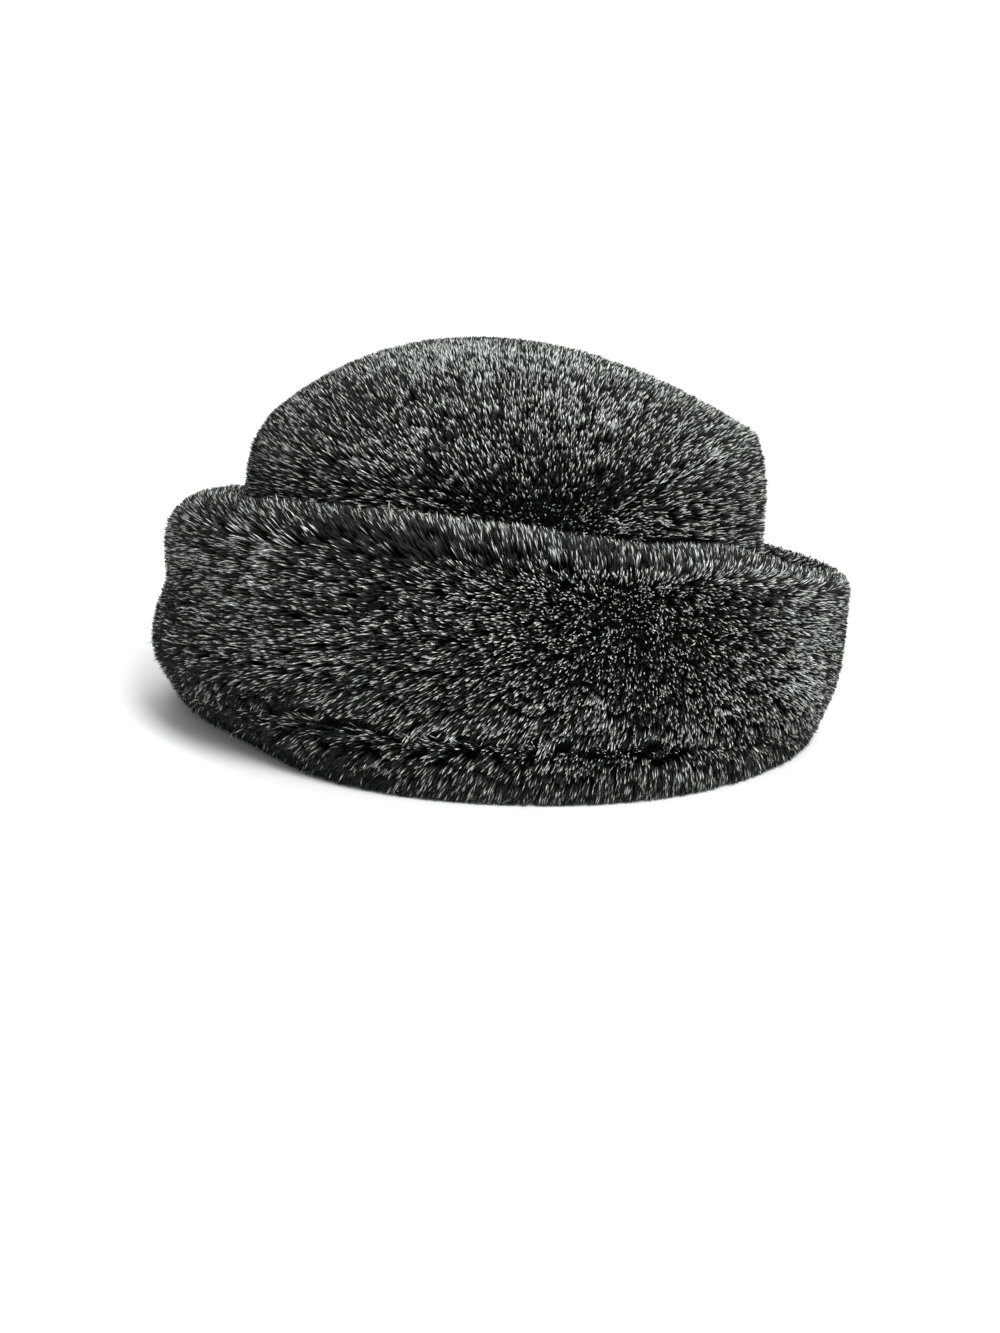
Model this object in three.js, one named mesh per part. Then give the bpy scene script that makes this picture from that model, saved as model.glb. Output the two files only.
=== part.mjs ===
// A faux fur bucket hat: a domed tip, a side band, and a deep brim of two cloths with fur on both.
// Millimetres, +Z up, the front towards -Y, the crown's axis on Z and the floor at z = 0.
import * as THREE from "three";

// Driving dimensions
const DEPTH_RATIO = 1.05; // the hat is a little longer from front to back than from side to side
const CLOTH = 1.5; // thickness of the fur's backing cloth
const HALF_GAP = 0.2; // each of two sewn pieces stands this far off the seam between them
const HEAD_RADIUS = 91; // inside of the side band, at the head opening
const TIP_RADIUS = 88; // inside of the side band, at its top
const TIP_SEAM_HEIGHT = 117;
const TIP_CREASE_HEIGHT = 129; // where the tip's fur and the band's fur part
const BAND_FUR_RADIUS = 113;
const BAND_FUR_FULL_HEIGHT = 92; // the band's fur has its full radius up to here
const BAND_ROUNDING = 3; // power of the band fur's curve in to the tip's crease
const DOME_CLOTH_RISE = 29; // the tip's cloth above its seam
const DOME_CLOTH_POWER = 2.2; // power of its curve down to the seam
const DOME_FUR_RISE = 35.5; // the tip's fur above its crease
const DOME_LEAN = -6; // the crown's top sags this far to the left
const UNDER_FUR_DEPTH = 10; // fur on the brim's inner side
const UNDER_FUR_AT_SEAM = 4; // and the same beside the head opening
const UNDER_FUR_THINS_FROM = 0.6; // share of the way up from the rim

// The tip's fur: [radius of its crease, power of its curve down to there] in four directions
const TIP_FUR = { right: [107.5, 1.95], back: [104.5, 2.3], left: [102.5, 2.3], front: [104.5, 2.3] };

// The brim's two cloths, from the crown seam to the rim: [radius, height] in four directions
const BRIM_CLOTH = {
  crownSeam: { right: [91, 58], back: [91, 64], left: [91, 66], front: [91, 73] },
  rise: { right: [107, 60], back: [107, 70], left: [107, 76], front: [106, 86] },
  shoulder: { right: [121, 56], back: [120, 66], left: [120, 73], front: [119, 85] },
  upperWall: { right: [130, 45], back: [130, 52], left: [129, 56], front: [129, 68] },
  lowerWall: { right: [131, 29], back: [131, 31], left: [131, 32], front: [130, 40] },
  rim: { right: [127, 17], back: [127, 17], left: [127, 17], front: [127, 18] },
};

// The outside of the brim's upper fur, from the crown's fur to the crease at the rim
const UPPER_FUR = {
  crownCrease: { right: [113, 73], back: [113, 80], left: [113, 91], front: [113, 101] },
  crest: { right: [131, 69.5], back: [130, 79], left: [131, 93.5], front: [129, 107] },
  shoulder: { right: [149.5, 70], back: [145, 73], left: [145, 82], front: [143, 95] },
  upperWall: { right: [151, 52], back: [150, 56], left: [147, 58], front: [149, 71] },
  lowerWall: { right: [149.5, 28], back: [150.5, 32], left: [151.5, 31], front: [150, 45] },
  rimCrease: { right: [144.5, 10], back: [147, 17], left: [147, 12], front: [146, 27.5] },
};

// The outside of the lower cloth's fur, from the crease at the rim to the floor
const LOWER_FUR = {
  rimCrease: UPPER_FUR.rimCrease,
  hem: { right: [142.5, 4.5], back: [145, 8], left: [145, 5.5], front: [145, 12] },
  toe: { right: [140, 0], back: [139, 0], left: [140, 0], front: [138.5, 0] },
};
const TOE_WIDTH = 7; // the ring of fur pressed flat on the floor

// Places where the brim's fur is pushed in (negative) or stands out, in degrees and millimetres
const DENTS = [
  { azimuth: 214, height: 0, halfAngle: 26, halfHeight: 18, push: -17 }, // tucked hem at the front left
  { azimuth: 182, height: 57, halfAngle: 30, halfHeight: 9, push: -2 }, // waist of the left side
  { azimuth: 325, height: 4, halfAngle: 22, halfHeight: 12, push: -4 }, // hem at the front right
  { azimuth: 250, height: 60, halfAngle: 30, halfHeight: 20, push: 2 }, // swell at the front
];

// Places where the brim's fur lies higher, down to nothing at the floor from the height LIFT_ABOVE
const LIFTS = [
  { azimuth: 235, height: 22, halfAngle: 20, halfHeight: 10, lift: 7 }, // rim crease at the front left
  { azimuth: 317, height: 89, halfAngle: 19, halfHeight: 14, lift: 7 }, // crest at the front right
];
const LIFT_ABOVE = 22;

// Locks of fur: the nap leans clockwise, seen from above
const LOCK_ROW = 9; // spacing of the rows along a section
const LOCK_COLUMNS = 120; // vertices round a row, every other one a lock's tip
const SEAM_COLUMNS = 60; // vertices round a cloth edge
const LOCK_CUT = 0.2; // share of the fur's depth that the valleys between locks reach down
const TIP_DRAW = 0.05; // share of that depth that locks fall short by, as a mean and as a spread
const BRIM_LEAN = 5; // sideways reach of a lock's tip, by its nap
const CROWN_LEAN = 3;
const TIP_JITTER = 1.6; // uneven tips, in every direction
const HEM_JITTER = 0.5; // and on the narrow rows beside the floor
const UNEVEN_WAVES = { row: 127.1, column: 311.7, salt: 74.7, scale: 43758.5453 };

// How finely a section is measured
const TANGENT_STEP = 0.01;
const LENGTH_STEPS = 24;

// Smooth value at an angle, from the values to the right, back, left and front
function around(cell, angle, column) {
  const [right, back, left, front] = [cell.right, cell.back, cell.left, cell.front].map((v) => v[column]);
  const mean = (right + back + left + front) / 4;
  const oval = (right + left - back - front) / 4;
  const sideways = ((right - left) / 2) * Math.cos(angle);
  const lengthways = ((back - front) / 2) * Math.sin(angle);
  return mean + sideways + lengthways + oval * Math.cos(2 * angle);
}

// A section's curve: a spline through the table's rows at one angle, in (radius, height)
function sectionPoint(table, t, angle) {
  const rows = Object.values(table);
  const points = rows.map((cell) => new THREE.Vector2(around(cell, angle, 0), around(cell, angle, 1)));
  return new THREE.SplineCurve(points).getPoint(t);
}

// How near a section's point is to a spot on the brim, from 0 to 1
function nearness(spot, point, angle) {
  const turn = THREE.MathUtils.radToDeg(angle) - spot.azimuth;
  const away = ((((turn + 180) % 360) + 360) % 360) - 180;
  const across = away / spot.halfAngle;
  const up = (point.y - spot.height) / spot.halfHeight;
  return Math.exp(-(across * across) - up * up);
}

function dented(point, angle) {
  const push = DENTS.reduce((sum, dent) => sum + dent.push * nearness(dent, point, angle), 0);
  const lift = LIFTS.reduce((sum, spot) => sum + spot.lift * nearness(spot, point, angle), 0);
  const offFloor = Math.min(point.y / LIFT_ABOVE, 1);
  return new THREE.Vector2(point.x + push, point.y + lift * offFloor);
}

// Puts a section's point into the hat
function place(point, angle) {
  const x = point.x * Math.cos(angle);
  const y = point.x * DEPTH_RATIO * Math.sin(angle);
  return new THREE.Vector3(x, y, point.y);
}

// Unit vector square to a direction in the section, to the left of it
function square(direction) {
  return new THREE.Vector2(-direction.y, direction.x).normalize();
}

// The brim's middle surface between its two cloths, moved out (positive) or in by an offset
function brimCloth(t, angle, offset) {
  const before = sectionPoint(BRIM_CLOTH, Math.max(t - TANGENT_STEP, 0), angle);
  const after = sectionPoint(BRIM_CLOTH, Math.min(t + TANGENT_STEP, 1), angle);
  const out = square(after.sub(before));
  return sectionPoint(BRIM_CLOTH, t, angle).addScaledVector(out, offset);
}

// Fur surfaces, each with the outside of the fur and the cloth it grows from, for t from 0 to 1
const upperFur = {
  outside: (t, angle) => dented(sectionPoint(UPPER_FUR, t, angle), angle),
  cloth: (t, angle) => brimCloth(t, angle, HALF_GAP + CLOTH),
};
const lowerFur = {
  outside: (t, angle) => dented(sectionPoint(LOWER_FUR, t, angle), angle),
  cloth: (t, angle) => brimCloth(1, angle, 0),
};
const innerFur = {
  outside: (t, angle) => {
    const thinned = THREE.MathUtils.smoothstep(t, UNDER_FUR_THINS_FROM, 1);
    const depth = THREE.MathUtils.lerp(UNDER_FUR_DEPTH, UNDER_FUR_AT_SEAM, thinned);
    return brimCloth(1 - t, angle, -HALF_GAP - CLOTH - depth);
  },
  cloth: (t, angle) => brimCloth(1 - t, angle, -HALF_GAP - CLOTH),
};
const bandFur = {
  outside: (t, angle) => {
    const foot = upperFur.outside(0, angle);
    const crease = domeFur.outside(1, angle);
    const height = THREE.MathUtils.lerp(crease.y, foot.y, t);
    const rise = Math.max(height - BAND_FUR_FULL_HEIGHT, 0) / (crease.y - BAND_FUR_FULL_HEIGHT);
    const radius = BAND_FUR_RADIUS - (BAND_FUR_RADIUS - crease.x) * rise ** BAND_ROUNDING;
    return new THREE.Vector2(radius, height);
  },
  cloth: (t, angle) => bandCloth(1 - t, angle, CLOTH),
};
const domeFur = {
  outside: (share, angle) => {
    const [radius, power] = [around(TIP_FUR, angle, 0), around(TIP_FUR, angle, 1)];
    return dome(share, radius, TIP_CREASE_HEIGHT, DOME_FUR_RISE, power);
  },
  cloth: (share) => dome(share, TIP_RADIUS, TIP_SEAM_HEIGHT, DOME_CLOTH_RISE, DOME_CLOTH_POWER),
};

// The side band's cloth, from the crown seam (t = 0) up to the tip seam
function bandCloth(t, angle, offset) {
  const foot = around(BRIM_CLOTH.crownSeam, angle, 1) + CLOTH + HALF_GAP;
  const radius = THREE.MathUtils.lerp(HEAD_RADIUS, TIP_RADIUS, t) + offset;
  return new THREE.Vector2(radius, THREE.MathUtils.lerp(foot, TIP_SEAM_HEIGHT, t));
}

// A point of the dome: share 0 at its top and 1 at its seam
function dome(share, radius, height, rise, power) {
  return new THREE.Vector2(radius * share, height + rise * (1 - share ** power));
}

// A repeatable uneven value from -1 to 1 for a lock
function uneven(row, column, salt) {
  const waves = UNEVEN_WAVES;
  const wave = Math.sin(row * waves.row + column * waves.column + salt * waves.salt) * waves.scale;
  return 2 * (wave - Math.floor(wave)) - 1;
}

function plainRing(count, pointAt) {
  return Array.from({ length: count }, (_, column) => {
    const angle = (2 * Math.PI * column) / count;
    return { at: place(pointAt(angle), angle), tip: false };
  });
}

// One row of fur: tips on the outside of the fur, leaning with the nap, and valleys between them
function lockRing(count, row, lean, jitter, fur, t) {
  return Array.from({ length: count }, (_, column) => {
    const angle = (2 * Math.PI * column) / count;
    const outside = place(fur.outside(t, angle), angle);
    const cloth = place(fur.cloth(t, angle), angle);
    const tip = (row + column) % 2 === 0;
    if (!tip) {
      return { at: outside.lerp(cloth, LOCK_CUT), tip };
    }
    const alongNap = new THREE.Vector3(Math.sin(angle), -Math.cos(angle), 0);
    outside.addScaledVector(alongNap, lean + jitter * uneven(row, column, 1));
    outside.lerp(cloth, TIP_DRAW * (1 + uneven(row, column, 2)));
    outside.z += jitter * uneven(row, column, 3);
    return { at: outside, tip };
  });
}

// Rows of locks between t = 0 and t = 1, without the two plain rings that bound them
function lockRows(rows, count, lean, jitter, fur) {
  const shares = Array.from({ length: rows - 1 }, (_, row) => (row + 1) / rows);
  return shares.map((t, row) => lockRing(count, row, lean, jitter, fur, t));
}

// Triangles between two rings of equal count; a valley joins a valley across each square
function stitchEven(ringA, ringB, triangles) {
  ringA.forEach((a0, column) => {
    const next = (column + 1) % ringA.length;
    const [a1, b0, b1] = [ringA[next], ringB[column], ringB[next]];
    const acrossFromB = a0.tip || b1.tip;
    triangles.push(...(acrossFromB ? [[a0, b0, a1], [a1, b0, b1]] : [[a0, b0, b1], [a0, b1, a1]]));
  });
}

// Triangles between a ring and one with fewer vertices; both sides of a seam come out alike
function stitchUneven(many, few, turned, triangles) {
  let a = 0;
  let b = 0;
  while (a < many.length || b < few.length) {
    const a0 = many[a % many.length];
    const b0 = few[b % few.length];
    const advanceMany = b >= few.length || (a < many.length && (a + 1) / many.length <= (b + 1) / few.length);
    const corner = advanceMany ? many[(a + 1) % many.length] : few[(b + 1) % few.length];
    triangles.push(turned ? [b0, a0, corner] : [a0, b0, corner]);
    a += advanceMany ? 1 : 0;
    b += advanceMany ? 0 : 1;
  }
}

function stitch(ringA, ringB, triangles) {
  if (ringA.length === ringB.length) {
    stitchEven(ringA, ringB, triangles);
  } else if (ringA.length > ringB.length) {
    stitchUneven(ringA, ringB, false, triangles);
  } else {
    stitchUneven(ringB, ringA, true, triangles);
  }
}

function fan(ring, centre, facingUp, triangles) {
  ring.forEach((vertex, column) => {
    const next = ring[(column + 1) % ring.length];
    triangles.push(facingUp ? [vertex, next, centre] : [next, vertex, centre]);
  });
}

// One closed mesh from its triangles, turned to face out
function meshOf(name, triangles, material) {
  const corners = triangles.flat().map((vertex) => vertex.at);
  let volume = 0;
  for (let i = 0; i < corners.length; i += 3) {
    volume += corners[i].dot(new THREE.Vector3().crossVectors(corners[i + 1], corners[i + 2]));
  }
  const turned = volume < 0 ? triangles.map(([p, q, r]) => [p, r, q]) : triangles;
  const geometry = new THREE.BufferGeometry().setFromPoints(turned.flat().map((vertex) => vertex.at));
  geometry.computeVertexNormals();
  const mesh = new THREE.Mesh(geometry, material);
  mesh.name = name;
  return mesh;
}

// A hollow piece: its section's rings in order, the last joined to the first
function ringSolid(name, rings, material) {
  const triangles = [];
  rings.forEach((ring, i) => stitch(ring, rings[(i + 1) % rings.length], triangles));
  return meshOf(name, triangles, material);
}

// A seam's edge line in the section, from a cloth's edge to the crease in the fur, moved off the seam
function seamSide(inner, outer, offset) {
  const side = square(outer.clone().sub(inner)).multiplyScalar(offset);
  return { inner: inner.clone().add(side), outer: outer.clone().add(side) };
}

const crownSeamLine = (angle, offset) => {
  const inner = bandCloth(0, angle, CLOTH);
  return seamSide(inner, upperFur.outside(0, angle), offset);
};
const tipSeamLine = (angle, offset) => {
  const inner = new THREE.Vector2(TIP_RADIUS + CLOTH, TIP_SEAM_HEIGHT);
  return seamSide(inner, domeFur.outside(1, angle), offset);
};
const rimSeamLine = (angle, offset) => seamSide(brimCloth(1, angle, offset), upperFur.outside(1, angle), offset);

function rowsFor(fur, angle) {
  const points = Array.from({ length: LENGTH_STEPS + 1 }, (_, i) => fur.outside(i / LENGTH_STEPS, angle));
  const length = points.slice(1).reduce((sum, point, i) => sum + point.distanceTo(points[i]), 0);
  return Math.max(2, Math.round(length / LOCK_ROW));
}

// The brim's cloth rows, in the order of their shares and moved out or in by an offset
function clothRings(offset, shares) {
  return shares.map((t) => plainRing(SEAM_COLUMNS, (angle) => brimCloth(t, angle, offset)));
}

const FRONT = 1.5 * Math.PI;
const CLOTH_SHARES = [0, 0.14, 0.28, 0.42, 0.56, 0.7, 0.85];

function brimUpper(material) {
  const rows = rowsFor(upperFur, FRONT);
  const rings = [
    plainRing(SEAM_COLUMNS, (angle) => brimCloth(0, angle, HALF_GAP + CLOTH).setX(HEAD_RADIUS)),
    plainRing(SEAM_COLUMNS, (angle) => crownSeamLine(angle, -HALF_GAP).inner),
    plainRing(LOCK_COLUMNS, (angle) => crownSeamLine(angle, -HALF_GAP).outer),
    ...lockRows(rows, LOCK_COLUMNS, BRIM_LEAN, TIP_JITTER, upperFur),
    plainRing(LOCK_COLUMNS, (angle) => rimSeamLine(angle, HALF_GAP).outer),
    plainRing(SEAM_COLUMNS, (angle) => rimSeamLine(angle, HALF_GAP).inner),
    ...clothRings(HALF_GAP, CLOTH_SHARES.toReversed()),
  ];
  return ringSolid("brim_upper", rings, material);
}

function brimLower(material) {
  const toeInner = (angle) => lowerFur.outside(1, angle).sub(new THREE.Vector2(TOE_WIDTH, 0));
  const rings = [
    plainRing(LOCK_COLUMNS, (angle) => rimSeamLine(angle, -HALF_GAP).outer),
    ...lockRows(rowsFor(lowerFur, FRONT), LOCK_COLUMNS, BRIM_LEAN, HEM_JITTER, lowerFur),
    plainRing(LOCK_COLUMNS, (angle) => lowerFur.outside(1, angle)),
    plainRing(SEAM_COLUMNS, toeInner),
    ...lockRows(rowsFor(innerFur, FRONT), SEAM_COLUMNS, CROWN_LEAN, HEM_JITTER, innerFur),
    plainRing(SEAM_COLUMNS, (angle) => innerFur.outside(1, angle)),
    ...clothRings(-HALF_GAP, CLOTH_SHARES),
    plainRing(SEAM_COLUMNS, (angle) => rimSeamLine(angle, -HALF_GAP).inner),
  ];
  return ringSolid("brim_lower", rings, material);
}

function crownBand(material) {
  const rings = [
    plainRing(LOCK_COLUMNS, (angle) => tipSeamLine(angle, -HALF_GAP).outer),
    ...lockRows(rowsFor(bandFur, 0), LOCK_COLUMNS, CROWN_LEAN, TIP_JITTER, bandFur),
    plainRing(LOCK_COLUMNS, (angle) => crownSeamLine(angle, HALF_GAP).outer),
    plainRing(SEAM_COLUMNS, (angle) => crownSeamLine(angle, HALF_GAP).inner),
    plainRing(SEAM_COLUMNS, (angle) => bandCloth(0, angle, 0).add(new THREE.Vector2(0, HALF_GAP))),
    plainRing(SEAM_COLUMNS, (angle) => bandCloth(0.5, angle, 0)),
    plainRing(SEAM_COLUMNS, (angle) => bandCloth(1, angle, 0).sub(new THREE.Vector2(0, HALF_GAP))),
    plainRing(SEAM_COLUMNS, (angle) => tipSeamLine(angle, -HALF_GAP).inner),
  ];
  return ringSolid("crown_band", rings, material);
}

// The dome's rows of locks, from the seam to the top: [share of the radius, vertices round]
const DOME_ROWS = [
  [0.91, 84], [0.82, 84], [0.73, 84], [0.64, 60], [0.55, 60], [0.46, 60],
  [0.37, 36], [0.28, 36], [0.19, 18], [0.1, 18],
];
const DOME_CLOTH_ROWS = [[0.85, 48], [0.68, 40], [0.5, 30], [0.3, 18]];

function leaningDomeRing(ring, share) {
  ring.forEach((vertex) => vertex.at.setX(vertex.at.x + DOME_LEAN * (1 - share * share)));
  return ring;
}

function crownTip(material) {
  const outer = [plainRing(LOCK_COLUMNS, (angle) => tipSeamLine(angle, HALF_GAP).outer)];
  DOME_ROWS.forEach(([share, count], row) => {
    const ring = lockRing(count, row, CROWN_LEAN * share, TIP_JITTER, domeFur, share);
    outer.push(leaningDomeRing(ring, share));
  });
  const inner = [
    plainRing(SEAM_COLUMNS, (angle) => tipSeamLine(angle, HALF_GAP).inner),
    plainRing(SEAM_COLUMNS, () => domeFur.cloth(1).add(new THREE.Vector2(0, HALF_GAP))),
  ];
  DOME_CLOTH_ROWS.forEach(([share, count]) => {
    inner.push(leaningDomeRing(plainRing(count, () => domeFur.cloth(share)), share));
  });
  const triangles = [];
  outer.slice(1).forEach((ring, i) => stitch(outer[i], ring, triangles));
  fan(outer.at(-1), { at: place(domeFur.outside(0, 0), 0).setX(DOME_LEAN), tip: true }, false, triangles);
  stitch(inner[0], outer[0], triangles);
  inner.slice(1).forEach((ring, i) => stitch(ring, inner[i], triangles));
  fan(inner.at(-1), { at: place(domeFur.cloth(0), 0).setX(DOME_LEAN), tip: false }, true, triangles);
  return meshOf("crown_tip", triangles, material);
}

const fur = (color) => new THREE.MeshStandardMaterial({ color, roughness: 0.9, metalness: 0 });

const hat = new THREE.Group();
hat.add(crownTip(fur(0x55585b)));
hat.add(crownBand(fur(0x3d3f42)));
hat.add(brimUpper(fur(0x4a4c4f)));
hat.add(brimLower(fur(0x2e2f31)));

export default hat;
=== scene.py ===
"""A faux fur bucket hat: black pile with silver-white tips, on a domed crown and a deep double brim."""
import math

import bpy
import numpy as np
from mathutils import Matrix, Vector
from mathutils.kdtree import KDTree


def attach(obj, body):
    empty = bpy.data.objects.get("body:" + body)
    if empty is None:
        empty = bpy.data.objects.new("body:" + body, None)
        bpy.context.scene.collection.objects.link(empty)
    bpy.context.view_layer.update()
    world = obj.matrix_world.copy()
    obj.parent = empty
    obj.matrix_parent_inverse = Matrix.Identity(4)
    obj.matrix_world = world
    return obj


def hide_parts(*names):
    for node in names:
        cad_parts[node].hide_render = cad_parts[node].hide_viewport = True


MM = 0.001
TURN = 2 * math.pi

# The hat's cloth and fur surfaces, in millimetres, as its solids have them
DEPTH_RATIO = 1.05  # the hat's length from front to back over its width
CLOTH = 1.5  # thickness of the fur's backing cloth
HALF_GAP = 0.2  # each of two sewn pieces stands this far off the seam between them
HEAD_RADIUS = 91
TIP_RADIUS = 88
TIP_SEAM_HEIGHT = 117
TIP_CREASE_HEIGHT = 129
BAND_FUR_RADIUS = 113
BAND_FUR_FULL_HEIGHT = 92
BAND_ROUNDING = 3  # power of the band fur's curve in to the tip's crease
DOME_CLOTH_RISE = 29
DOME_CLOTH_POWER = 2.2
DOME_FUR_RISE = 35.5
DOME_LEAN = -6
UNDER_FUR_DEPTH = 10
UNDER_FUR_AT_SEAM = 4
TOE_WIDTH = 7  # of the ring of fur that is pressed flat on the floor

# The tip's fur: the radius of its crease, and the power of its curve down to there
TIP_FUR = {"right": (107.5, 1.95), "back": (104.5, 2.3), "left": (102.5, 2.3), "front": (104.5, 2.3)}

# The middle between the brim's two cloths, and the outside of its fur: each ring's radius and height
BRIM_CLOTH = {
    "crown_seam": {"right": (91, 58), "back": (91, 64), "left": (91, 66), "front": (91, 73)},
    "rise": {"right": (107, 60), "back": (107, 70), "left": (107, 76), "front": (106, 86)},
    "shoulder": {"right": (121, 56), "back": (120, 66), "left": (120, 73), "front": (119, 85)},
    "upper_wall": {"right": (130, 45), "back": (130, 52), "left": (129, 56), "front": (129, 68)},
    "lower_wall": {"right": (131, 29), "back": (131, 31), "left": (131, 32), "front": (130, 40)},
    "rim": {"right": (127, 17), "back": (127, 17), "left": (127, 17), "front": (127, 18)},
}
UPPER_FUR = {
    "crown_crease": {"right": (113, 73), "back": (113, 80), "left": (113, 91), "front": (113, 101)},
    "crest": {"right": (131, 69.5), "back": (130, 79), "left": (131, 93.5), "front": (129, 107)},
    "shoulder": {"right": (149.5, 70), "back": (145, 73), "left": (145, 82), "front": (143, 95)},
    "upper_wall": {"right": (151, 52), "back": (150, 56), "left": (147, 58), "front": (149, 71)},
    "lower_wall": {"right": (149.5, 28), "back": (150.5, 32), "left": (151.5, 31), "front": (150, 45)},
    "rim_crease": {"right": (144.5, 10), "back": (147, 17), "left": (147, 12), "front": (146, 27.5)},
}
LOWER_FUR = {
    "rim_crease": UPPER_FUR["rim_crease"],
    "hem": {"right": (142.5, 4.5), "back": (145, 8), "left": (145, 5.5), "front": (145, 12)},
    "toe": {"right": (140, 0), "back": (139, 0), "left": (140, 0), "front": (138.5, 0)},
}

# Places where the brim's fur is pushed in (below 0) or stands out, and places where it lies higher
DENTS = [
    {"azimuth": 214, "height": 0, "half_angle": 26, "half_height": 18, "push": -17},
    {"azimuth": 182, "height": 57, "half_angle": 30, "half_height": 9, "push": -2},
    {"azimuth": 325, "height": 4, "half_angle": 22, "half_height": 12, "push": -4},
    {"azimuth": 250, "height": 60, "half_angle": 30, "half_height": 20, "push": 2},
]
LIFTS = [
    {"azimuth": 235, "height": 22, "half_angle": 20, "half_height": 10, "lift": 7},
    {"azimuth": 317, "height": 89, "half_angle": 19, "half_height": 14, "lift": 7},
]
LIFT_ABOVE = 22  # a lift is in full from this height on, and none on the floor

UNDER_FUR_THINS_FROM = 0.6  # of the way up the brim's inner side
TOE_SHARE = 0.12  # of the under fur's section is the flat ring on the floor
BEND_SHARE = 0.35  # and from this share on it has turned up to the brim's inner side
SMALL_STEP = 0.01  # in t or in radians, for slopes


def around(cell, angle):
    """Radius and height at each angle, from the values to the right, back, left and front."""
    right, back, left, front = (np.array(cell[side], float) for side in ("right", "back", "left", "front"))
    sideways = (right - left) / 2 * np.cos(angle)[:, None]
    lengthways = (back - front) / 2 * np.sin(angle)[:, None]
    oval = (right + left - back - front) / 4 * np.cos(2 * angle)[:, None]
    return (right + back + left + front) / 4 + sideways + lengthways + oval


def section(table, t, angle):
    """Radius and height on a spline through the table's rows, at each share t and angle."""
    rows = np.array([around(cell, angle) for cell in table.values()])
    last = len(rows) - 1
    reach = np.clip(t, 0, 1) * last
    row = np.floor(reach).astype(int)
    past_row = (reach - row)[:, None]
    each = np.arange(len(angle))
    before, start, end, after = (rows[np.clip(row + step, 0, last), each] for step in (-1, 0, 1, 2))
    start_slope = (end - before) / 2
    end_slope = (after - start) / 2
    cubic = 2 * start - 2 * end + start_slope + end_slope
    quadratic = -3 * start + 3 * end - 2 * start_slope - end_slope
    return ((cubic * past_row + quadratic) * past_row + start_slope) * past_row + start


def nearness(spot, height, angle):
    """How near places on the hat are to a spot on it, from 0 to 1."""
    away = (np.degrees(angle) - spot["azimuth"] + 180) % 360 - 180
    across = away / spot["half_angle"]
    up = (height - spot["height"]) / spot["half_height"]
    return np.exp(-across ** 2 - up ** 2)


def dented(points, angle):
    """Section points with the brim's dents pushed in and its lifted places higher."""
    height = points[:, 1]
    push = sum(dent["push"] * nearness(dent, height, angle) for dent in DENTS)
    lift = sum(spot["lift"] * nearness(spot, height, angle) for spot in LIFTS)
    off_floor = np.minimum(height / LIFT_ABOVE, 1)
    return points + np.column_stack([push, lift * off_floor])


def place(points, angle):
    """Section points put into the hat."""
    x = points[:, 0] * np.cos(angle)
    y = points[:, 0] * DEPTH_RATIO * np.sin(angle)
    return np.column_stack([x, y, points[:, 1]])


def brim_cloth(t, angle, offset):
    """The brim's middle surface between its two cloths, moved out or in by an offset."""
    before = section(BRIM_CLOTH, np.maximum(t - SMALL_STEP, 0), angle)
    after = section(BRIM_CLOTH, np.minimum(t + SMALL_STEP, 1), angle)
    along = after - before
    out = unit(np.column_stack([-along[:, 1], along[:, 0]]))
    return section(BRIM_CLOTH, t, angle) + out * np.reshape(offset, (-1, 1))


def dome(share, angle, radius, height, rise, power):
    """A dome over a ring of this radius and height, from its middle (share = 0) out to the ring."""
    points = place(np.column_stack([radius * share, height + rise * (1 - share ** power)]), angle)
    points[:, 0] += DOME_LEAN * (1 - share ** 2)
    return points


def dome_fur(t, angle):
    radius, power = around(TIP_FUR, angle).T
    return dome(t, angle, radius, TIP_CREASE_HEIGHT, DOME_FUR_RISE, power)


def dome_cloth(t, angle):
    return dome(t, angle, TIP_RADIUS, TIP_SEAM_HEIGHT, DOME_CLOTH_RISE, DOME_CLOTH_POWER)


def band_fur(t, angle):
    foot = dented(around(UPPER_FUR["crown_crease"], angle), angle)[:, 1]
    crease = around(TIP_FUR, angle)[:, 0]
    height = TIP_CREASE_HEIGHT + (foot - TIP_CREASE_HEIGHT) * t
    rise = np.maximum(height - BAND_FUR_FULL_HEIGHT, 0) / (TIP_CREASE_HEIGHT - BAND_FUR_FULL_HEIGHT)
    radius = BAND_FUR_RADIUS - (BAND_FUR_RADIUS - crease) * rise ** BAND_ROUNDING
    return place(np.column_stack([radius, height]), angle)


def band_wall(t, angle, offset):
    """The side band's cloth, from the tip seam (t = 0) down to the crown seam."""
    foot = around(BRIM_CLOTH["crown_seam"], angle)[:, 1] + CLOTH + HALF_GAP
    radius = TIP_RADIUS + (HEAD_RADIUS - TIP_RADIUS) * t + offset
    return place(np.column_stack([radius, TIP_SEAM_HEIGHT + (foot - TIP_SEAM_HEIGHT) * t]), angle)


def band_cloth(t, angle):
    return band_wall(t, angle, CLOTH)


def upper_fur(t, angle):
    return place(dented(section(UPPER_FUR, t, angle), angle), angle)


def upper_cloth(t, angle):
    return place(brim_cloth(t, angle, HALF_GAP + CLOTH), angle)


def lower_fur(t, angle):
    return place(dented(section(LOWER_FUR, t, angle), angle), angle)


def rim_cloth(t, angle):
    return place(brim_cloth(np.ones_like(t), angle, 0), angle)


def inner_cloth(t, angle):
    """The lower cloth's own side, from the rim (t = 0) to the crown seam."""
    return place(brim_cloth(1 - t, angle, -HALF_GAP - CLOTH), angle)


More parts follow.
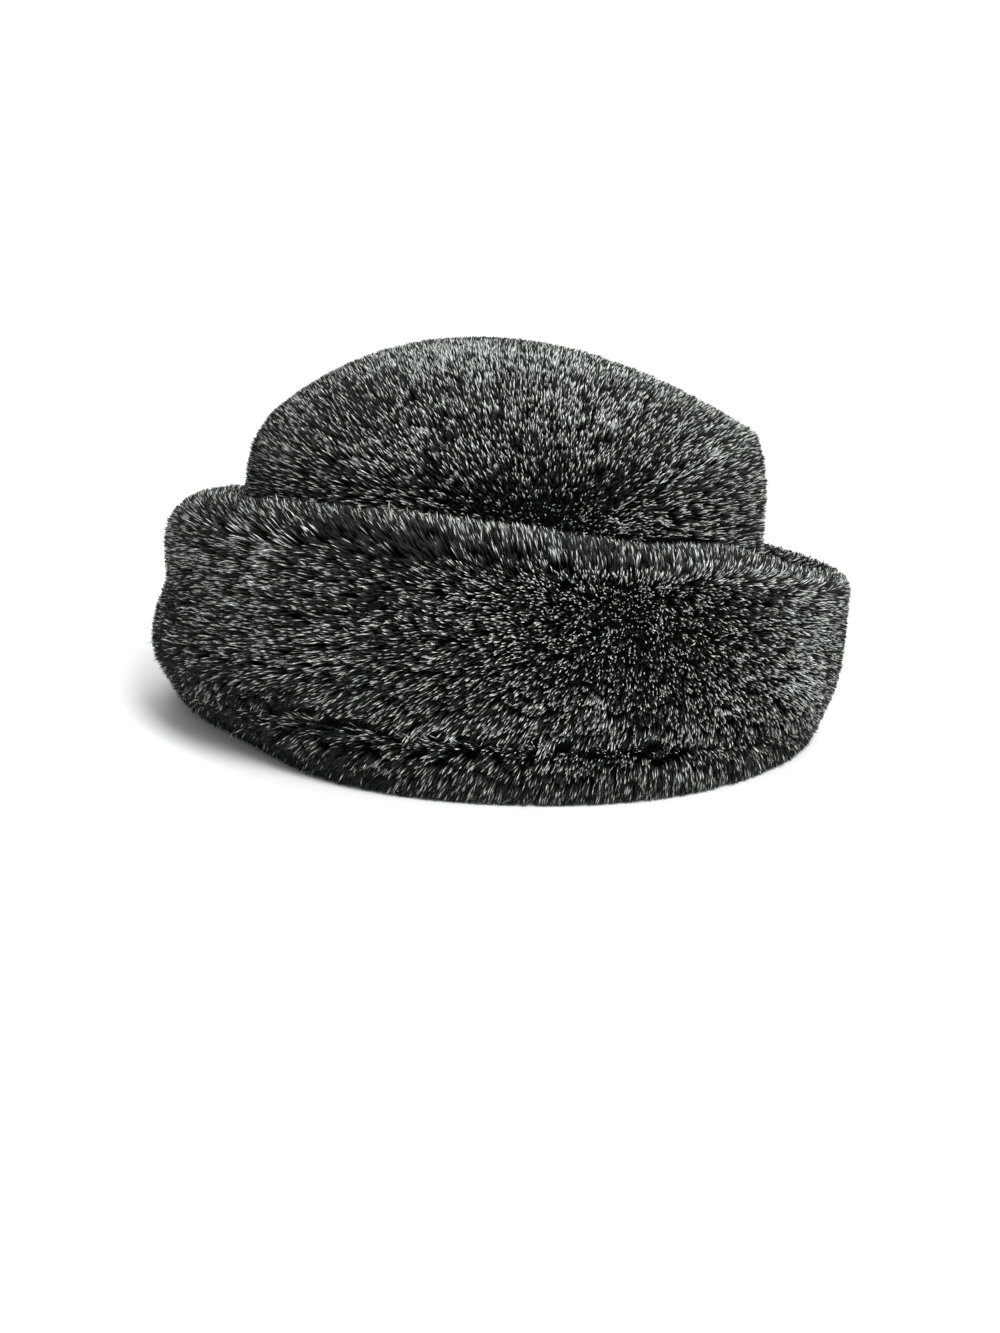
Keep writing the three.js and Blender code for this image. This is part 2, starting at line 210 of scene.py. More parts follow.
def inner_fur(t, angle):
    """The outside of the fur on that side, thinner towards the crown seam."""
    thinner = smooth((t - UNDER_FUR_THINS_FROM) / (1 - UNDER_FUR_THINS_FROM))
    depth = UNDER_FUR_DEPTH + (UNDER_FUR_AT_SEAM - UNDER_FUR_DEPTH) * thinner
    return place(brim_cloth(1 - t, angle, -HALF_GAP - CLOTH - depth), angle)


def under_fur(t, angle):
    """From the toe on the floor, in and up along the brim's inner side to the head opening."""
    toe = dented(section(LOWER_FUR, np.ones_like(t), angle), angle)
    outer = place(toe, angle)
    inner = place(toe - (TOE_WIDTH, 0), angle)
    side = inner_fur(np.clip((t - BEND_SHARE) / (1 - BEND_SHARE), 0, 1), angle)
    flat = np.clip(t / TOE_SHARE, 0, 1)[:, None]
    bend = np.clip((t - TOE_SHARE) / (BEND_SHARE - TOE_SHARE), 0, 1)[:, None]
    return np.where(bend > 0, inner + (side - inner) * bend, outer + (inner - outer) * flat)


def under_cloth(t, angle):
    return inner_cloth(np.clip((t - BEND_SHARE) / (1 - BEND_SHARE), 0, 1), angle)


def smooth(value):
    """An even rise from 0 to 1 while the value goes from 0 to 1."""
    value = np.clip(value, 0, 1)
    return value * value * (3 - 2 * value)


def length_of(vectors):
    return np.linalg.norm(vectors, axis=1)[:, None]


def unit(vectors):
    return vectors / length_of(vectors)


def across_only(vectors, axis):
    """Vectors without their part along an axis of length one."""
    return vectors - axis * (vectors * axis).sum(axis=1)[:, None]


def waves(points, wavelength, rng, count=16):
    """Smooth uneven values, about -1 to 1, that change over the given distance."""
    direction = rng.normal(size=(count, 3))
    direction *= TURN / wavelength / length_of(direction)
    phase = rng.random(count) * TURN
    return np.sin(points @ direction.T + phase).sum(axis=1) / math.sqrt(count)


def vary(share, shape, rng):
    """Factors from one less the share to one more."""
    return 1 - share + 2 * share * rng.random(shape)


def near_angle(angle, middle, half_angle, elsewhere):
    """1 at an angle, falling to a given value away from it."""
    away = (angle - middle + math.pi) % TURN - math.pi
    return elsewhere + (1 - elsewhere) * np.exp(-(away / half_angle) ** 2)


# Where the pile of the upper brim parts along a line, as the share t of its section on each side
PART = {"right": (0.24,), "back": (0.34,), "left": (0.34,), "front": (0.36,)}

# How each patch of fur grows, with lengths in mm. outside and cloth: its two surfaces. length: its section's.
# base: the share of its depth that the dense underfur fills. silver: the share of strands with a silver tip.
# lean: how far a tip lies over round the hat. fall: how far it lies down along the section, and
# fall_at_start: how far at t = 0, where that differs. tousle: how unevenly its locks fall. upright: its
# strands stand square to its outside. part: its parting line. next: the fur below, which its last tips
# hang over, and next_length: that fur's length. rim_part: how much further its first tips lie down where the
# rim crease gapes
FURS = {
    "dome": {
        "outside": dome_fur, "cloth": dome_cloth, "length": 112,
        "base": 0.55, "silver": 0.205, "lean": 2, "fall": 0, "tousle": 0.8,
    },
    "band": {
        "outside": band_fur, "cloth": band_cloth, "length": 40,
        "base": 0.55, "silver": 0.175, "lean": 2.5, "fall": -2.5, "tousle": 0.8, "upright": True,
    },
    "upper": {
        "outside": upper_fur, "cloth": upper_cloth, "length": 108,
        "base": 0.55, "silver": 0.225, "lean": 5.5, "fall": 0, "tousle": 1, "upright": True,
        "part": PART, "next": lower_fur, "next_length": 26,
    },
    # the hem's low share of silver is partly painted shade, darker towards the bottom of the brim
    "lower": {
        "outside": lower_fur, "cloth": rim_cloth, "length": 26,
        "base": 0.5, "silver": 0.12, "lean": 5, "fall": 5, "fall_at_start": 0, "tousle": 2, "rim_part": 3,
    },
    "under": {
        "outside": under_fur, "cloth": under_cloth, "length": 100,
        "base": 0.5, "silver": 0.2, "lean": 3, "fall": 0, "tousle": 1,
    },
}

# Locks of fur: the strands nearest to a lock's middle
LOCK_AREA = 20  # square millimetres to a lock
LOCK_PULL = 0.28  # how far a lock draws its strands' tips together
PULL_VARIES = 0.4  # more or less, as a share of that
LOCK_SCATTER = 1  # how far off the point that it draws them to lies, in mm
LOCK_LENGTH_VARIES = 0.018
LOCK_SHADE_VARIES = 0.05
OWN_FALL = 0.3  # share of a strand's fall that is its own, the rest being its lock's

# The parting line, with a fan of strands that stands up above it, a gap in the underfur along it and painted
# shade in that gap
PART_WANDER = 1.6  # how far it wanders up and down, in mm
PART_WAVES = ((5, 1, 1), (11, 0.7, 2), (23, 0.5, 0))  # times round the hat, share and start of each wave
PART_RAGGED = 4.5  # how far to either side of it the locks part, in mm
FAN_RISE = 6.5  # how far the tips above it lie up, in mm
FAN_FALL = 2  # and those below it down
FAN_WIDTH_ABOVE = 9
FAN_WIDTH_BELOW = 6
FAN_AT = math.radians(244)  # the fan stands up most at this angle
FAN_HALF_ANGLE = math.radians(40)
FAN_ELSEWHERE = 0.2  # and has this share of its rise elsewhere
FAN_LOOK_ABOVE = 14.4  # how far above the line strands are thicker and more silver, in mm
FAN_LOOK_BELOW = 3  # and how far below it
FAN_SILVER = 0.3  # silver starts this much nearer to the root of a strand in the fan
FAN_THICKER = 0.25  # and the strand is this much thicker
FAN_TOUSLE = 1.5  # and its locks fall this much more unevenly, in mm
GAP_DEPTH = 0.4  # how much lower the underfur is along the line, as a share of the fur's depth
PAINTED_GAP_SHADE = 0.25  # and how many fewer strands are silver there: painted shade along the gap
GAP_AT = math.radians(262)  # the gap is deepest at this angle
GAP_HALF_ANGLE = math.radians(13)
GAP_WIDTH = 8
GAP_ELSEWHERE = 0.05  # and has this share of its depth elsewhere

# The rim crease between the upper and the lower fur
RIM_FALL = 4  # how far the upper fur's last tips hang over it, in mm
RIM_FALL_FROM = 0.8  # of the upper fur's section
RIM_TOUSLE = 2
RIM_TOUSLE_FROM = 0.85
RIM_PART_AT = math.radians(229)  # it gapes at this angle
RIM_PART_HALF_ANGLE = math.radians(22)
FALL_GROWS_OVER = 0.5  # of a section, from fall_at_start to fall

# Strands
LONG_SHARE = 0.006  # of the strands stick out
LONG_STRAY = 2.8  # how far their tips stray to the side, in mm
STRAY = 0.8  # and how far the others' do
MEAN_LENGTH = 0.97  # of the way to the fur's outside
LENGTH_VARIES = 0.025
LENGTH_LIMITS = (0.6, 1.1)
STRAND_HALF_WIDTH = 0.2  # of a strand at its widest, in mm
WIDTH_VARIES = 0.25
STRAND_BOW = 0.28  # how far a strand bows to one side, in mm
BOW_VARIES = 0.3
BOW_BACK = 0.25  # how strongly it bows away from where it leans to
ROOT_DEPTH = 0.1  # strands start this share of the fur's depth under the underfur's surface
BEND_AT = 0.84  # a strand's bend, as a share of its length
LEAN_RADIUS = 30  # nearer to the hat's middle than this, in mm, a strand leans through no more of a turn
FLOOR_CLEARANCE = 0.3
FLOOR_SPREAD = 0.6  # how unevenly tips end over the floor, in mm
GRID = 65  # points each way, where places are spread evenly over a fur

# Silver: a strand is black or silver, and its shade says how much of either, from 0 to 1
PAINTED_LIGHT_AT = math.radians(298)  # painted light: the fur has most silver at this angle, its lit right-front side
PAINTED_LIGHT_SWAY = 0.33  # as a share of the fur's silver: that much more there, as painted light
DEEPEST_PAINTED_SHADE = -0.4  # times the sway, at the places that have least silver: painted shade on the side away from the light
SILVER_WAVES = ((60, 0.06), (18, 0.05))  # lengths in mm, and how much silver comes and goes over them
SILVER_FROM = 0.72  # the darkest shade of a silver strand
BLACK_UP_TO = 0.4  # the lightest of a black one
SHADES = 64  # colours in steps, from black to silver
LAST_SHADE = 0.999  # keeps the lightest strand in the last step

# Lighter and darker places of each fur, and how much greater the share of silver strands is there. They are
# partly the fur's own uneven silver and partly painted light and shade.
SILVER_AND_PAINTED_LIGHT_PATCHES = {
    "dome": [
        # painted light on the crown's top, near 160 mm high, and painted shade lower on its front left and
        # front right shoulders
        {"azimuth": 230, "height": 140, "half_angle": 28, "half_height": 11, "silver": -0.09},
        {"azimuth": 220, "height": 160, "half_angle": 45, "half_height": 8, "silver": 0.16},
        {"azimuth": 328, "height": 142, "half_angle": 30, "half_height": 13, "silver": -0.14},
        {"azimuth": 340, "height": 161, "half_angle": 42, "half_height": 6, "silver": 0.13},
    ],
    "band": [
        # painted shade at the band's lower left (210) and at its right edge (350)
        {"azimuth": 258, "height": 119, "half_angle": 16, "half_height": 9, "silver": -0.06},
        {"azimuth": 210, "height": 112, "half_angle": 24, "half_height": 16, "silver": -0.07},
        {"azimuth": 299, "height": 100, "half_angle": 20, "half_height": 8, "silver": 0.18},
        {"azimuth": 312, "height": 123, "half_angle": 16, "half_height": 8, "silver": -0.05},
        {"azimuth": 350, "height": 112, "half_angle": 24, "half_height": 17, "silver": -0.14},
        {"azimuth": 285, "height": 108, "half_angle": 14, "half_height": 8, "silver": 0.07},
    ],
    "upper": [
        # painted shade on the brim's left (212) and on its top band at the front right, which faces the light
        # (293)
        {"azimuth": 284, "height": 25, "half_angle": 13, "half_height": 4, "silver": 0.06},
        {"azimuth": 322, "height": 22, "half_angle": 16, "half_height": 11, "silver": -0.09},
        {"azimuth": 245, "height": 27, "half_angle": 17, "half_height": 8, "silver": -0.08},
        {"azimuth": 252, "height": 41, "half_angle": 9, "half_height": 12, "silver": -0.13},
        {"azimuth": 249, "height": 101, "half_angle": 21, "half_height": 10, "silver": -0.2},
        {"azimuth": 293, "height": 100, "half_angle": 18, "half_height": 7, "silver": -0.23},
        {"azimuth": 312, "height": 76, "half_angle": 12, "half_height": 9, "silver": -0.09},
        {"azimuth": 338, "height": 76, "half_angle": 18, "half_height": 10, "silver": -0.13},
        {"azimuth": 279, "height": 45, "half_angle": 9, "half_height": 22, "silver": 0.05},
        {"azimuth": 273, "height": 51, "half_angle": 9, "half_height": 7, "silver": 0.09},
        {"azimuth": 293, "height": 34, "half_angle": 7, "half_height": 7, "silver": -0.12},
        {"azimuth": 308, "height": 45, "half_angle": 7, "half_height": 8, "silver": 0.12},
        {"azimuth": 290, "height": 77, "half_angle": 10, "half_height": 10, "silver": 0.08},
        {"azimuth": 190, "height": 35, "half_angle": 24, "half_height": 25, "silver": -0.04},
        {"azimuth": 212, "height": 97, "half_angle": 20, "half_height": 10, "silver": -0.09},
        {"azimuth": 240, "height": 72, "half_angle": 13, "half_height": 24, "silver": -0.08},
    ],
    "lower": [
        # painted shade in the rim crease at the lower left (229, 256)
        {"azimuth": 284, "height": 24, "half_angle": 13, "half_height": 4, "silver": 0.08},
        {"azimuth": 306, "height": 18, "half_angle": 12, "half_height": 7, "silver": 0.06},
        {"azimuth": 229, "height": 12, "half_angle": 17, "half_height": 9, "silver": -0.16},
        {"azimuth": 256, "height": 6, "half_angle": 14, "half_height": 8, "silver": -0.13},
    ],
    "under": [],
}


def lookup(grid, row, column):
    """Values of a square grid between its points; row and column run from 0 to 1."""
    last = len(grid) - 1
    row = row * last
    column = column * last
    i = np.minimum(row.astype(int), last - 1)
    j = np.minimum(column.astype(int), last - 1)
    down = row - i
    across = column - j
    top = grid[i, j] * (1 - across) + grid[i, j + 1] * across
    bottom = grid[i + 1, j] * (1 - across) + grid[i + 1, j + 1] * across
    return top * (1 - down) + bottom * down


def spread(fur, rng, count=None, area=None):
    """Evenly spread places on a patch of fur, a number of them or one to so much area: shares and angles."""
    steps = np.linspace(0, 1, GRID)
    angle, t = (grid.ravel() for grid in np.meshgrid(steps * TURN, steps, indexing="ij"))
    points = fur["outside"](t, angle).reshape(GRID, GRID, 3)
    runs = np.linalg.norm(np.diff(points, axis=1), axis=2)
    arcs = np.concatenate([np.zeros((GRID, 1)), np.cumsum(runs, axis=1)], axis=1)
    full = arcs[:, -1]
    shares = np.array([np.interp(steps * arc[-1], arc, steps) for arc in arcs])
    radii = np.hypot(points[:, :, 0], points[:, :, 1])
    radii = np.array([np.interp(share, steps, radius) for share, radius in zip(shares, radii)])
    weights = full[:, None] * radii
    if count is None:
        count = weights.mean() * TURN / area
    cells = count * weights.max() / weights.mean()
    rows = max(1, round(math.sqrt(cells * full.mean() / (radii.mean() * TURN))))
    columns = round(cells / rows)
    row, column = (grid.ravel() for grid in np.meshgrid(np.arange(rows), np.arange(columns)))
    down = (row + rng.random(len(row))) / rows
    round_share = (column + rng.random(len(row))) / columns
    kept = rng.random(len(row)) < lookup(weights, round_share, down) / weights.max()
    down = down[kept]
    round_share = round_share[kept]
    return lookup(shares, round_share, down), round_share * TURN


def nap(fur, t, angle):
    """A point on the fur's outside that a strand from t and angle leans over to."""
    radius = np.maximum(np.hypot(*fur["outside"](t, angle)[:, :2].T), LEAN_RADIUS)
    leaning = angle - fur["lean"] / radius
    point = fur["outside"](np.clip(t, 0, 1), leaning)
    if "next" in fur:
        over = np.clip((t - 1) * fur["length"] / fur["next_length"], 0, 1)
        point = np.where((t > 1)[:, None], fur["next"](over, leaning), point)
    return point


def past_part(fur, t, angle):
    """How many millimetres below the fur's parting line a place is, on a line that wanders."""
    wander = sum(share * np.sin(times * angle + start) for times, share, start in PART_WAVES)
    return (t - around(fur["part"], angle)[:, 0]) * fur["length"] - PART_WANDER * wander


def fan(fur, t, angle):
    """How near a place is to the fan of strands above a parting line, from 0 to 1."""
    if "part" not in fur:
        return np.zeros(len(t))
    past = past_part(fur, t, angle)
    strength = near_angle(angle, FAN_AT, FAN_HALF_ANGLE, FAN_ELSEWHERE)
    return strength * np.exp(-(past / np.where(past < 0, FAN_LOOK_ABOVE, FAN_LOOK_BELOW)) ** 2)


def gap(fur, t, angle):
    """How near a place is to a parting line and how deep that gapes there, from 0 to 1."""
    if "part" not in fur:
        return np.zeros(len(t))
    strength = near_angle(angle, GAP_AT, GAP_HALF_ANGLE, GAP_ELSEWHERE)
    return strength * np.exp(-(past_part(fur, t, angle) / GAP_WIDTH) ** 2)


def comb(fur, t, angle):
    """How far a strand's tip lies down along the section, in mm."""
    start = fur.get("fall_at_start", fur["fall"])
    grown = smooth(t / FALL_GROWS_OVER)
    down = start + (fur["fall"] - start) * grown
    if "rim_part" in fur:
        down += fur["rim_part"] * near_angle(angle, RIM_PART_AT, RIM_PART_HALF_ANGLE, 0) * (1 - grown)
    if "part" in fur:
        past = past_part(fur, t, angle)
        rise = FAN_RISE * near_angle(angle, FAN_AT, FAN_HALF_ANGLE, FAN_ELSEWHERE)
        above = -rise * np.exp(-(past / FAN_WIDTH_ABOVE) ** 2)
        below = FAN_FALL * np.exp(-(past / FAN_WIDTH_BELOW) ** 2)
        down += np.where(past < 0, above, below)
        down += RIM_FALL * smooth((t - RIM_FALL_FROM) / (1 - RIM_FALL_FROM))
    return down


def base_of(fur, t, angle):
    """The share of the fur's depth that the underfur fills, less along a parting line."""
    return fur["base"] - GAP_DEPTH * gap(fur, t, angle)


def outward(fur, t, angle):
    """Directions square to the fur's outside, away from its cloth."""
    outside = fur["outside"]
    down = outside(np.minimum(t + SMALL_STEP, 1), angle) - outside(np.maximum(t - SMALL_STEP, 0), angle)
    square = unit(np.cross(down, outside(t, angle + SMALL_STEP) - outside(t, angle - SMALL_STEP)))
    return square * np.sign(((outside(t, angle) - fur["cloth"](t, angle)) * square).sum(axis=1))[:, None]


def nearest(points, places):
    """The number of the nearest place to each point."""
    tree = KDTree(len(places))
    for i, place_of in enumerate(places):
        tree.insert(Vector(place_of), i)
    tree.balance()
    return np.array([tree.find(Vector(point))[1] for point in points])


def lock_tips(fur, t, angle, rng):
    """How far each lock's tips lie down along the section, in mm, and the point that it draws them to."""
    tousle = fur["tousle"] + FAN_TOUSLE * fan(fur, t, angle)
    if "part" in fur:
        tousle += RIM_TOUSLE * smooth((t - RIM_TOUSLE_FROM) / (1 - RIM_TOUSLE_FROM))
    ragged_t = t + PART_RAGGED / fur["length"] * rng.normal(size=len(t))
    down = comb(fur, ragged_t, angle) + tousle * rng.normal(size=len(t))
    tip = nap(fur, t + down / fur["length"], angle)
    return down, tip + LOCK_SCATTER * rng.normal(size=tip.shape)


def strand_roots(fur, t, angle, outside):
    """The strands' roots, a little way under the underfur's surface."""
    depth = outside - fur["cloth"](t, angle)
    if "upright" in fur:
        square = outward(fur, t, angle)
        depth = square * (depth * square).sum(axis=1)[:, None]
    return outside - depth * (1 + ROOT_DEPTH - base_of(fur, t, angle))[:, None]


def silver_share(fur, silver_and_painted_light_patches, t, angle, root, height, rng):
    """The share of silver strands at each place: painted light towards the lit right-front side, painted
    shade away from it and along the parting, and the patches, which are partly painted light and shade.
    """
    # painted light and shade: more silver towards the lit right-front side, less on the far side
    painted_light_sway = np.maximum(np.cos(angle - PAINTED_LIGHT_AT), DEEPEST_PAINTED_SHADE)
    silver = fur["silver"] * (1 + PAINTED_LIGHT_SWAY * painted_light_sway)
    for wavelength, depth in SILVER_WAVES:
        silver += depth * waves(root, wavelength, rng)
    # painted shade along the parting line
    silver -= PAINTED_GAP_SHADE * gap(fur, t, angle)
    return silver + sum(patch["silver"] * nearness(patch, height, angle) for patch in silver_and_painted_light_patches)


def grow(fur, silver_and_painted_light_patches, count, rng):
    """Strands of a patch of fur: root, bend and tip points, half widths, shades, silver starts, angles."""
    t, angle = spread(fur, rng, count=count)
    lock_t, lock_angle = spread(fur, rng, area=LOCK_AREA)
    n = len(t)
    outside = fur["outside"](t, angle)
    lock = nearest(outside, fur["outside"](lock_t, lock_angle))
    lock_down, lock_tip = lock_tips(fur, lock_t, lock_angle, rng)
    down = OWN_FALL * comb(fur, t, angle) + (1 - OWN_FALL) * lock_down[lock]
    tip = nap(fur, t + down / fur["length"], angle)
    root = strand_roots(fur, t, angle, outside)

    axis = unit(tip - root)
    pull = across_only(lock_tip[lock] - tip, axis) * (LOCK_PULL * vary(PULL_VARIES, (n, 1), rng))
    sticks_out = rng.random(n) < LONG_SHARE
    stray = across_only(rng.normal(size=(n, 3)), axis) * np.where(sticks_out, LONG_STRAY, STRAY)[:, None]
    lock_length = 1 + LOCK_LENGTH_VARIES * rng.normal(size=len(lock_t))
    length = lock_length[lock] * (MEAN_LENGTH + LENGTH_VARIES * rng.normal(size=n))
    tip = root + (tip + pull + stray - root) * np.clip(length, *LENGTH_LIMITS)[:, None]

    axis = unit(tip - root)
    side = across_only(rng.normal(size=(n, 3)) - BOW_BACK * (tip - outside), axis)
    side *= STRAND_BOW * vary(BOW_VARIES, (n, 1), rng) / length_of(side)
    bend = root + (tip - root) * BEND_AT + side
    for points in (bend, tip):
        points[:, 2] = np.maximum(points[:, 2], FLOOR_CLEARANCE + FLOOR_SPREAD * rng.random(n))

    silver = silver_share(fur, silver_and_painted_light_patches, t, angle, root, outside[:, 2], rng)
    is_silver = (rng.random(n) < silver) | sticks_out
    silver_shade = SILVER_FROM + (1 - SILVER_FROM) * rng.random(n)
    black_shade = BLACK_UP_TO * rng.random(n) ** 2
    lock_shade = LOCK_SHADE_VARIES * rng.normal(size=len(lock_t))
    fanned = fan(fur, t, angle)
    return {
        "root": root,
        "bend": bend,
        "tip": tip,
        "width": STRAND_HALF_WIDTH * vary(WIDTH_VARIES, n, rng) * (1 + FAN_THICKER * fanned),
        "shade": np.clip(np.where(is_silver, silver_shade, black_shade) + lock_shade[lock], 0, LAST_SHADE),
        "start": FAN_SILVER * fanned,
        "angle": angle,
    }


# A strand is a closed body of four points, root, tip and two beside each other at the bend, and four faces
STRAND_FACES = np.array([[0, 1, 2], [0, 3, 1], [0, 2, 3], [1, 3, 2]])
STRAND_POINTS = 4
FACE_CORNERS = 3
STRAND_CORNERS = STRAND_FACES.size
BAKE_HALF_WIDTH = 0.4  # of a strand in the bake's map, as a share of its shade's column


def strand_mesh(name, strands, kept, material):
    """One mesh of the strands that are kept."""
    root, bend, tip, width = (strands[part][kept] for part in ("root", "bend", "tip", "width"))
    n = len(root)
    across = np.cross(unit(tip - root), bend - root)
    across *= width[:, None] / length_of(across)
    points = np.stack([root, tip, bend + across, bend - across], axis=1)
    corners = (np.arange(n)[:, None, None] * STRAND_POINTS + STRAND_FACES).reshape(-1)
    mesh = bpy.data.meshes.new(name)
    mesh.vertices.add(n * STRAND_POINTS)
    mesh.vertices.foreach_set("co", (points.reshape(-1) * MM).astype(np.float32))
    mesh.loops.add(n * STRAND_CORNERS)
    mesh.loops.foreach_set("vertex_index", corners.astype(np.int32))
    mesh.polygons.add(n * len(STRAND_FACES))
    mesh.polygons.foreach_set("loop_start", np.arange(0, n * STRAND_CORNERS, FACE_CORNERS, dtype=np.int32))
    mesh.update(calc_edges=True)
    mesh.polygons.foreach_set("use_smooth", np.ones(n * len(STRAND_FACES), bool))

    shade = (np.floor(strands["shade"][kept] * SHADES) + 0.5) / SHADES
    start = strands["start"][kept][:, None]
    along = start + (1 - start) * np.array([0, 1, BEND_AT, BEND_AT])
    for key, values in (("shade", np.repeat(shade, STRAND_POINTS)), ("along", along.reshape(-1))):
        attribute = mesh.attributes.new(key, "FLOAT", "POINT")
        attribute.data.foreach_set("value", values.astype(np.float32))

    point = STRAND_FACES.reshape(-1)
    aside = np.array([0, 0, -BAKE_HALF_WIDTH, BAKE_HALF_WIDTH])[point] / SHADES
    uv = mesh.uv_layers.new(name="OFBake")
    places = np.stack([shade[:, None] + aside, along[:, point]], axis=2)
    uv.data.foreach_set("uv", places.reshape(-1).astype(np.float32))
    mesh.materials.append(material)
    mesh.validate()
    return linked(name, mesh)


def linked(name, data):
    """A new object in the scene."""
    obj = bpy.data.objects.new(name, data)
    bpy.context.scene.collection.objects.link(obj)
    return obj


# Underfur bodies: closed, hollow shapes under the strands, with bare cloth inside
COLUMNS = 128  # points round a ring
UNDERFUR_ROWS = {"dome": 26, "band": 16, "upper": 40, "lower": 12, "under": 30}  # rings of each fur
CLOTH_ROWS = 10  # and of a cloth
LUMPS = ((9, 0.7), (5, 0.5))  # lengths of the underfur's lumps and how far they stand out, in mm
EDGE_ROWS = 2  # no lumps at a body's edge, and all of them from this many rows in
LEAST_DEPTH = 0.01  # of fur over the cloth, in mm, where a direction is taken from it


def skin_rings(fur, rows, rng):
    """Rings of the underfur's lumpy surface, for t from 0 to 1."""
    row, column = (grid.ravel() for grid in np.meshgrid(np.arange(rows), np.arange(COLUMNS), indexing="ij"))
    t = row / (rows - 1)
    angle = column * TURN / COLUMNS
    cloth = fur["cloth"](t, angle)
    points = cloth + (fur["outside"](t, angle) - cloth) * base_of(fur, t, angle)[:, None]
    lumps = sum(depth * waves(points, wavelength, rng) for wavelength, depth in LUMPS)
    edge = smooth(np.minimum(row, rows - 1 - row) / EDGE_ROWS)
    points += (points - cloth) / np.maximum(length_of(points - cloth), LEAST_DEPTH) * (lumps * edge)[:, None]
    return list(points.reshape(rows, COLUMNS, 3))


def cloth_rings(cloth, first, last):
    """Rings of a cloth, from one share of its section to another."""
    angle = np.arange(COLUMNS) * TURN / COLUMNS
    return [cloth(np.full(COLUMNS, t), angle) for t in np.linspace(first, last, CLOTH_ROWS)]


def shell(name, skin, cloth, materials, capped=False):
    """A closed mesh of the skin's rings and then the cloth's: the last joined to the first, or both ends
    closed at their middle."""
    rings = skin + cloth
    count = len(rings)
    faces, of_cloth = [], []
    for i in range(count - 1 if capped else count):
        near = i * COLUMNS
        far = (i + 1) % count * COLUMNS
        for j in range(COLUMNS):
            k = (j + 1) % COLUMNS
            faces.append((near + j, far + j, far + k, near + k))
            of_cloth.append(i >= len(skin) - 1)
    points = np.concatenate(rings)
    if capped:
        middles = [points[:COLUMNS].mean(axis=0), points[-COLUMNS:].mean(axis=0)]
        points = np.concatenate([points, middles])
        last_ring = (count - 1) * COLUMNS
        top = count * COLUMNS
        under = top + 1
        for j in range(COLUMNS):
            k = (j + 1) % COLUMNS
            faces += [(top, j, k), (under, last_ring + k, last_ring + j)]
            of_cloth += [False, True]
    mesh = bpy.data.meshes.new(name)
    mesh.from_pydata((points * MM).tolist(), [], faces)
    mesh.polygons.foreach_set("use_smooth", np.ones(len(faces), bool))
    for material in materials:
        mesh.materials.append(material)
    mesh.polygons.foreach_set("material_index", np.array(of_cloth, np.int32))
    if signed_volume(mesh) < 0:
        mesh.flip_normals()
    return linked(name, mesh)


def signed_volume(mesh):
    """Above 0 where the faces point outwards."""
    mesh.calc_loop_triangles()
    total = 0.0
    for triangle in mesh.loop_triangles:
        a, b, c = (mesh.vertices[i].co for i in triangle.vertices)
        total += a.dot(b.cross(c))
    return total


# Materials. A row of greys is a position on a ramp, a grey and how warm it is
TIP_GREYS = ((0, 0.01, 0), (0.35, 0.05, -0.02), (0.6, 0.25, -0.01), (0.8, 0.55, 0), (1, 0.85, 0.01))
TIP_TINTS = ((0, (0.87, 0.97, 0.97)), (1, (0.96, 0.99, 0.91)))
ROOT_GREYS = ((0, 0.004, 0), (1, 0.012, 0))
TIP_SHARES = ((0, 0, 0), (0.48, 0, 0), (0.68, 0.6, 0), (0.86, 1, 0))  # of the tip's colour along a strand
ROOT_ROUGHNESS = 0.8
TIP_ROUGHNESS = 0.5
STRAND_SPECULAR = 0.02
FIBRE_GREYS = ((0.35, 0.003, 0), (0.75, 0.02, 0))
FIBRE_SCALE = 900
FIBRE_DETAIL = 3
FIBRE_BUMP = {"Strength": 0.8, "Distance": 0.0015}
FIBRE_ROUGHNESS = 0.95
KNIT_GREYS = ((0.2, 0.012, 0), (0.9, 0.05, 0))
KNIT_RIBS = {"Z": 300, "X": 260}  # how fine the ribs are along each direction
KNIT_DISTORTION = 1.5
KNIT_BUMP = {"Strength": 0.6, "Distance": 0.0006}
KNIT_ROUGHNESS = 0.85
PAPER_GREYS = ((0, 0.9, 0), (1, 0.92, 0))
PAPER_SCALE = 40
PAPER_ROUGHNESS = 0.9
PAPER_SPECULAR = 0.1


def new_material(name):
    material = bpy.data.materials.new(name)
    material.use_nodes = True
    nodes, links = material.node_tree.nodes, material.node_tree.links
    shader = nodes["Principled BSDF"]
    return material, nodes, links, shader


def greys(rows):
    """A colour ramp's stops from rows of greys."""
    return [(position, (grey * (1 + warm), grey, grey * (1 - warm))) for position, grey, warm in rows]


def ramp(nodes, links, value, stops):
    """A colour ramp over a value, from (position, (r, g, b)) stops."""
    node = nodes.new("ShaderNodeValToRGB")
    links.new(value, node.inputs["Fac"])
    elements = node.color_ramp.elements
    while len(elements) < len(stops):
        elements.new(0.5)
    for element, (position, colour) in zip(elements, stops):
        element.position = position
        element.color = (*colour, 1)
    return node.outputs["Color"]


def mix(nodes, links, factor, first, second, blend="MIX"):
    """Two colours mixed by a number or by a node's output."""
    node = nodes.new("ShaderNodeMix")
    node.data_type = "RGBA"
    node.blend_type = blend
    if isinstance(factor, float):
        node.inputs["Factor"].default_value = factor
    else:
        links.new(factor, node.inputs["Factor"])
    links.new(first, node.inputs["A"])
    links.new(second, node.inputs["B"])
    return node.outputs["Result"]


def attribute(nodes, name):
    """A mesh attribute's value."""
    node = nodes.new("ShaderNodeAttribute")
    node.attribute_name = name
    return node.outputs["Fac"]


def object_place(nodes):
    """A point's place on its own object, in metres."""
    return nodes.new("ShaderNodeTexCoord").outputs["Object"]


def noise(nodes, links, scale):
    node = nodes.new("ShaderNodeTexNoise")
    node.inputs["Scale"].default_value = scale
    links.new(object_place(nodes), node.inputs["Vector"])
    return node


